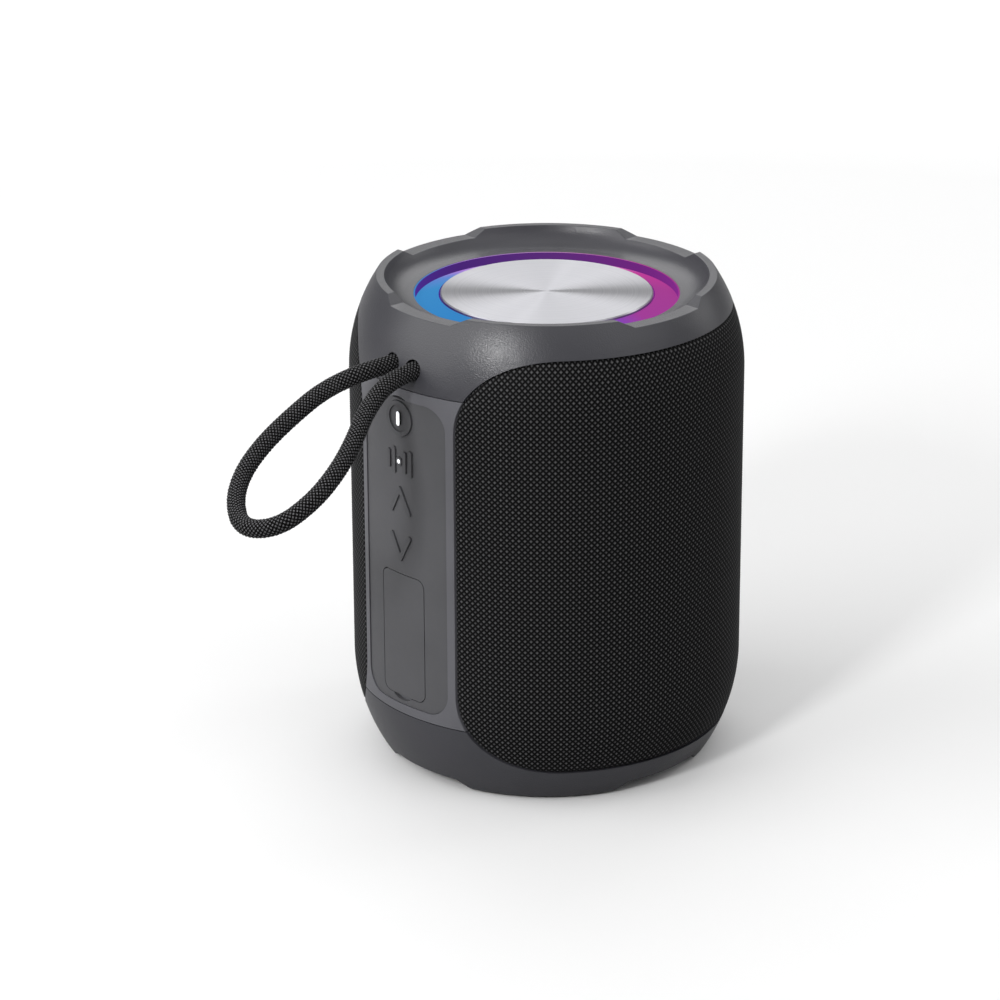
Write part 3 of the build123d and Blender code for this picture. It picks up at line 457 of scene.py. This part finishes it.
def build_rope():
    """The braided lanyard: two families of flattened strands, over one and under one, round a core."""
    line, at = evenly(rope_line(), 0.25 * MM)
    first, second = carried_frame(line)
    gap = 2 * math.pi / STRANDS
    turn = 1.0 / STRAND_R  # radians per metre: the strands lie at 45 degrees
    points, faces, shine = [], [], []

    def add_tube(centre, wide, thick, half_wide, half_thick, sides, height):
        base = sum(len(p) for p in points)
        for side in range(sides):
            a = 2 * math.pi * (side + 0.5) / sides + math.pi / sides
            points.append(centre + wide * (math.cos(a) * half_wide) + thick * (math.sin(a) * half_thick))
            # painted highlight: the outer side of a raised strand gets a high value, which the rope's colour
            # ramp turns light; its dips and inner side stay dark as painted shade
            shine.append(height * max(0.0, math.sin(a)))
        n = len(centre)
        for side in range(sides):
            other = (side + 1) % sides
            a = base + side * n + np.arange(n - 1)
            b = base + other * n + np.arange(n - 1)
            faces.append(np.stack([a, b, b + 1, a + 1], axis=1))

    for way in (1, -1):
        for strand in range(STRANDS):
            angle = gap * strand + way * turn * at
            place = 2 * strand + way * 2 * turn * at / gap
            wave = np.cos(math.pi * place) * way
            out = first * np.cos(angle)[:, None] + second * np.sin(angle)[:, None]
            centre = line + out * (STRAND_R + STRAND_WAVE * wave)[:, None]
            along = np.gradient(centre, axis=0)
            along /= np.linalg.norm(along, axis=1)[:, None]
            wide = np.cross(along, out)
            wide /= np.linalg.norm(wide, axis=1)[:, None]
            add_tube(centre, wide, out, STRAND_WIDE, STRAND_THICK, STRAND_SIDES, (wave + 1) / 2)
    coarse = slice(None, None, 4)
    core = STRAND_R - STRAND_WAVE
    # the core gets no shine, so it shows near-black between the strands: painted shade
    add_tube(line[coarse], first[coarse], second[coarse], core, core, 20, np.zeros(len(line[coarse])))
    rope = object_from("braided_lanyard", np.concatenate(points), np.concatenate(faces))
    weave = rope.data.attributes.new("weave", "FLOAT", "POINT")
    weave.data.foreach_set("value", np.concatenate(shine).astype(np.float32))
    rope.data.materials.append(MATERIALS["rope"])
    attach(rope, "shell")
    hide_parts("lanyard")
    print("lanyard length", round(float(at[-1]), 4))
    return rope


build_rope()


# ---------------------------------------------------------------- the woven wrap
def window_distance(side, z):
    """How far a point of the body's surface is inside the wrap's outline, seen from the front.

    side is the distance from the spine's middle line, measured square to the front view."""
    half_height = (WINDOW_TOP - WINDOW_BOTTOM) / 2
    x = side - SPINE_HALF
    y = half_height - np.abs(z - (WINDOW_TOP + WINDOW_BOTTOM) / 2)
    corner = WINDOW_CORNER - np.hypot(WINDOW_CORNER - x, WINDOW_CORNER - y)
    straight = np.minimum(x, y)
    return np.where((x < WINDOW_CORNER) & (y < WINDOW_CORNER), corner, straight)


FAR_SIDE = 40.0 * MM  # stands for any place behind the axis, clear of the outline
WRAP_MIDDLE_R = 45.4 * MM  # radius at which the yarns are spaced
CLOTH_DEPTH = 0.12 * MM  # how far the cloth's middle lies under the body's surface
RELIEF = 0.26 * MM  # from a low crossing to a raised one
RELIEF_EDGE = 0.6 * MM  # how far from the outline the weave reaches its full relief
TUCK, TUCK_DEPTH = 0.75 * MM, 0.55 * MM  # the rounded edge where the cloth turns in at the seam
SEAM = 0.14 * MM  # gap between the cloth and the casing


def outline_depth(side, z):
    """window_distance less the seam, for a place in front of the axis."""
    return window_distance(side, z) - SEAM


def build_wrap():
    """The stretched cloth: one point for each crossing of its yarns, standing proud or lying low in turn."""
    columns = int(2 * WRAP_HALF * WRAP_MIDDLE_R / YARN)
    low, high = WINDOW_BOTTOM + SEAM, WINDOW_TOP - SEAM
    rows = int((high - low) / YARN)
    azimuth = np.linspace(-WRAP_HALF, WRAP_HALF, columns + 1)  # from +Y, the far side
    height = np.linspace(low, high, rows + 1)
    a, z = np.meshgrid(azimuth, height, indexing="ij")
    front = np.abs(a) > math.pi / 2
    side = np.where(front, radius_at(z) * np.abs(np.sin(a)), FAR_SIDE)
    within = outline_depth(side, z) > 0
    # a point just outside the outline is drawn back onto it by the shortest way
    probe = 0.02 * MM
    for _ in range(3):
        depth = outline_depth(side, z)
        toward_side = (outline_depth(side + probe, z) - outline_depth(side - probe, z)) / (2 * probe)
        toward_top = (outline_depth(side, z + probe) - outline_depth(side, z - probe)) / (2 * probe)
        short = np.where(front & (depth < 0) & (depth > -2 * YARN), depth, 0.0)
        side = side - short * toward_side
        z = z - short * toward_top
    turned = math.pi - np.arcsin(np.clip(side / radius_at(z), 0, 1))
    a = np.where(front, np.sign(a) * turned, a)
    inside = np.maximum(outline_depth(side, z), 0.0)
    column, row = np.meshgrid(np.arange(columns + 1), np.arange(rows + 1), indexing="ij")
    over = ((column + row) % 2).astype(float)
    # painted highlight: raised crossings get a high value that the fabric's colour ramp turns light grey, low
    # ones stay near-black as painted shade; every other row is a little dimmer
    shine = over * np.where(row % 2 == 0, 1.0, 0.8)
    edge = np.clip(inside / TUCK, 0, 1)
    tucked = TUCK_DEPTH * (1 - np.sqrt(1 - (1 - edge) ** 2))
    relief = (over - 0.5) * RELIEF * np.clip(inside / RELIEF_EDGE, 0.3, 1)
    r = radius_at(z, CLOTH_DEPTH) + relief - tucked
    points = np.stack([r * np.sin(a), r * np.cos(a), z], axis=-1).reshape(-1, 3)
    index = np.arange(points.shape[0]).reshape(columns + 1, rows + 1)
    corners = [index[:-1, :-1], index[:-1, 1:], index[1:, 1:], index[1:, :-1]]
    quads = np.stack(corners, axis=-1).reshape(-1, 4)
    quads = quads[within.reshape(-1)[quads].any(axis=1)]
    # each cell is split between its two low corners, so that every raised crossing is a peak of its own
    raised_first = over.reshape(-1)[quads[:, 0]] > 0.5
    quads = np.where(raised_first[:, None], np.roll(quads, -1, axis=1), quads)
    triangles = np.concatenate([quads[:, [0, 1, 2]], quads[:, [0, 2, 3]]])
    used, faces = np.unique(triangles, return_inverse=True)
    faces = faces.reshape(-1, 3)
    wrap = object_from("woven_wrap", points[used], faces)
    weave = wrap.data.attributes.new("weave", "FLOAT", "POINT")
    weave.data.foreach_set("value", shine.reshape(-1)[used].astype(np.float32))
    wrap.data.materials.append(MATERIALS["black_fabric"])
    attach(wrap, "shell")
    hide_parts("fabric_grille")
    return wrap


build_wrap()


# ---------------------------------------------------------------- the flap's web
WEB_HALF = 4.3 * MM  # half its width
WEB_BACK, WEB_FRONT = 43.45 * MM, 44.07 * MM  # how far its faces are in front of the axis
WEB_LOW, WEB_HIGH = 51.75 * MM, 54.95 * MM


def build_web():
    """The rubber strip that joins the flap to the pad: thinner in the middle, built straight."""
    levels, corners = 25, 12
    points, faces = [], []
    for level in range(levels):
        z = WEB_LOW + (WEB_HIGH - WEB_LOW) * level / (levels - 1)
        waist = 1.0 - 0.35 * math.sin(math.pi * level / (levels - 1)) ** 2
        half = waist * (WEB_FRONT - WEB_BACK) / 2
        for corner in range(corners):
            a = 2 * math.pi * corner / corners
            across = math.copysign(abs(math.cos(a)) ** 0.35, math.cos(a)) * WEB_HALF
            through = math.copysign(abs(math.sin(a)) ** 0.35, math.sin(a)) * half
            points.append((across, through - (WEB_BACK + WEB_FRONT) / 2, z))
    for level in range(levels - 1):
        for corner in range(corners):
            low, other = level * corners, (corner + 1) % corners
            faces.append((low + corner, low + other, low + corners + other, low + corners + corner))
    faces.append(tuple(reversed(range(corners))))
    faces.append(tuple(range((levels - 1) * corners, levels * corners)))
    web = object_from("flap_web_strip", points, faces)
    web.data.materials.append(MATERIALS["soft_pad"])
    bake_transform(web)
    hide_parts("flap_web")
    return web


build_web()

# ---------------------------------------------------------------- floor and light
LAMPLIT_R, WHITE_R = 0.5, 1.8  # the floor begins to glow at the first radius, and is white at the second
FLOOR_HALF = 6.0
floor_corners = [(x * FLOOR_HALF, y * FLOOR_HALF, 0.0) for x, y in ((-1, -1), (1, -1), (1, 1), (-1, 1))]
floor_mesh = bpy.data.meshes.new("floor")
floor_mesh.from_pydata(floor_corners, [], [(0, 1, 2, 3)])
floor = bpy.data.objects.new("floor", floor_mesh)
scene.collection.objects.link(floor)
floor_material = Nodes("floor", Roughness=0.7)
seen = floor_material.add("ShaderNodeLightPath")
floor_tone = floor_material.add("ShaderNodeMix", data_type="RGBA")
floor_tone.inputs[6].default_value = (0.42, 0.42, 0.42, 1.0)
floor_tone.inputs[7].default_value = (0.86, 0.86, 0.86, 1.0)
floor_material.link(seen.outputs["Is Camera Ray"], floor_tone.inputs[0])
floor_material.link(floor_tone.outputs[2], floor_material.shader.inputs["Base Color"])
floor_material.shader.inputs["Specular IOR Level"].default_value = 0.1
# far from the object, where the lamps no longer reach, the floor stays as white as the backdrop
_, floor_radius = polar(floor_material)
far = floor_material.add("ShaderNodeMapRange")
far.inputs["From Min"].default_value = LAMPLIT_R
far.inputs["From Max"].default_value = WHITE_R
floor_material.link(floor_radius, far.inputs["Value"])
floor_material.shader.inputs["Emission Color"].default_value = (1.0, 1.0, 1.0, 1.0)
floor_material.link(
    floor_material.math("MULTIPLY", seen.outputs["Is Camera Ray"], far.outputs["Result"]),
    floor_material.shader.inputs["Emission Strength"],
)
floor_mesh.materials.append(floor_material.material)

STUDIO = [  # how bright the studio is, from the floor's level (0) up to straight overhead (1)
    (0.00, 0.20),
    (0.30, 0.30),
    (0.60, 0.45),
    (0.82, 0.65),
    (1.00, 1.10),
]
STUDIO_SCALE = 4.0  # a curve node holds values from 0 to 1
world = bpy.data.worlds.new("studio")
world.use_nodes = True
tree = world.node_tree
tree.nodes.clear()
direction = tree.nodes.new("ShaderNodeTexCoord")
upward = tree.nodes.new("ShaderNodeSeparateXYZ")
tree.links.new(direction.outputs["Generated"], upward.inputs[0])
gradient = tree.nodes.new("ShaderNodeFloatCurve")
curve = gradient.mapping.curves[0]
while len(curve.points) < len(STUDIO):
    curve.points.new(0.5, 0.5)
for point, (place, value) in zip(curve.points, STUDIO):
    point.location = (place, value / STUDIO_SCALE)
gradient.mapping.update()
tree.links.new(upward.outputs[2], gradient.inputs["Value"])
dome = tree.nodes.new("ShaderNodeBackground")
strength = tree.nodes.new("ShaderNodeMath")
strength.operation = "MULTIPLY"
strength.inputs[1].default_value = STUDIO_SCALE
tree.links.new(gradient.outputs[0], strength.inputs[0])
tree.links.new(strength.outputs[0], dome.inputs["Strength"])
backdrop = tree.nodes.new("ShaderNodeBackground")
viewed = tree.nodes.new("ShaderNodeLightPath")
either = tree.nodes.new("ShaderNodeMixShader")
tree.links.new(viewed.outputs["Is Camera Ray"], either.inputs[0])
tree.links.new(dome.outputs[0], either.inputs[1])
tree.links.new(backdrop.outputs[0], either.inputs[2])
for node in (dome, backdrop):
    node.inputs["Color"].default_value = (1.0, 1.0, 1.0, 1.0)
output = tree.nodes.new("ShaderNodeOutputWorld")
tree.links.new(either.outputs[0], output.inputs["Surface"])
scene.world = world


def softbox(name, turn, lift, reach, size, power):
    """A soft studio lamp aimed at the object: turn degrees to the camera's right, lift above the floor."""
    lamp = bpy.data.lights.new(name, "AREA")
    lamp.shape = "RECTANGLE"
    lamp.size, lamp.size_y = size
    lamp.energy = power
    around, up = CAMERA_AZIMUTH + math.radians(turn), math.radians(lift)
    aim = Vector((0.0, 0.0, 0.07))
    back = Vector((math.sin(around) * math.cos(up), -math.cos(around) * math.cos(up), math.sin(up)))
    holder = bpy.data.objects.new(name, lamp)
    holder.location = aim + back * reach
    holder.rotation_euler = (-back).to_track_quat("-Z", "Y").to_euler()
    scene.collection.objects.link(holder)


softbox("key", -31.0, 30.0, 1.1, (0.15, 0.20), 5.0)
softbox("left", -78.0, 30.0, 1.0, (0.9, 0.9), 5.2)
softbox("back", 180.0, 36.0, 1.3, (1.3, 0.6), 5.0)
softbox("back_right", 115.0, 24.0, 1.0, (0.25, 0.6), 0.9)
softbox("right", 60.0, 40.0, 1.2, (0.9, 0.9), 1.8)

scene.view_settings.view_transform = "Standard"
scene.view_settings.look = "None"
